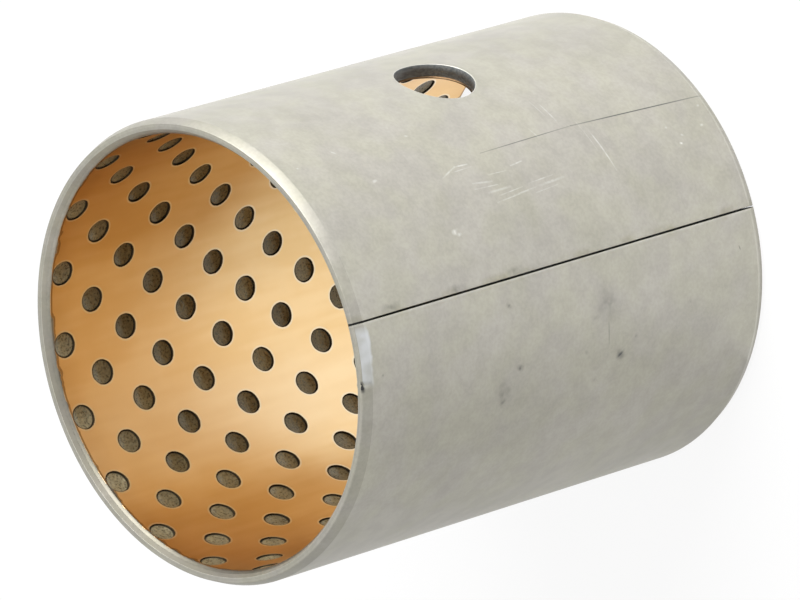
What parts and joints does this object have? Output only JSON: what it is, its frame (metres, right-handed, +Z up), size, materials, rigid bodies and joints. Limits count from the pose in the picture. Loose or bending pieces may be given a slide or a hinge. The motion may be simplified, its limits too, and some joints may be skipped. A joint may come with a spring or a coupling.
{
  "type": "graphite plugged bushing",
  "caption": "Wrapped steel sleeve bushing with a bronze bore full of staggered graphite plugs, a straight butt joint, chamfered ends and a round lube hole.",
  "frame": {"origin": "centre of the lower end face, on the bore's axis", "axes": "+Z up along the bore's axis, towards the end with the nearer first ring of plugs; +X out through the lube hole"},
  "size_m": [0.075, 0.075, 0.09],
  "materials": {
    "steel": "thin matt tin plating over rolled steel, mottled, with light handling scratches",
    "bronze": "satin machined bronze, turned round the bore",
    "graphite": "dull, grainy pressed graphite"
  },
  "bodies": {
    "root": {"steel_shell": "steel", "bronze_lining": "bronze", "graphite_ring_01": "graphite", "graphite_ring_02": "graphite", "graphite_ring_03": "graphite", "graphite_ring_04": "graphite", "graphite_ring_05": "graphite", "graphite_ring_06": "graphite", "graphite_ring_07": "graphite", "graphite_ring_08": "graphite", "graphite_ring_09": "graphite", "graphite_ring_10": "graphite", "graphite_ring_11": "graphite", "graphite_ring_12": "graphite", "graphite_ring_13": "graphite"}
  },
  "joints": []
}
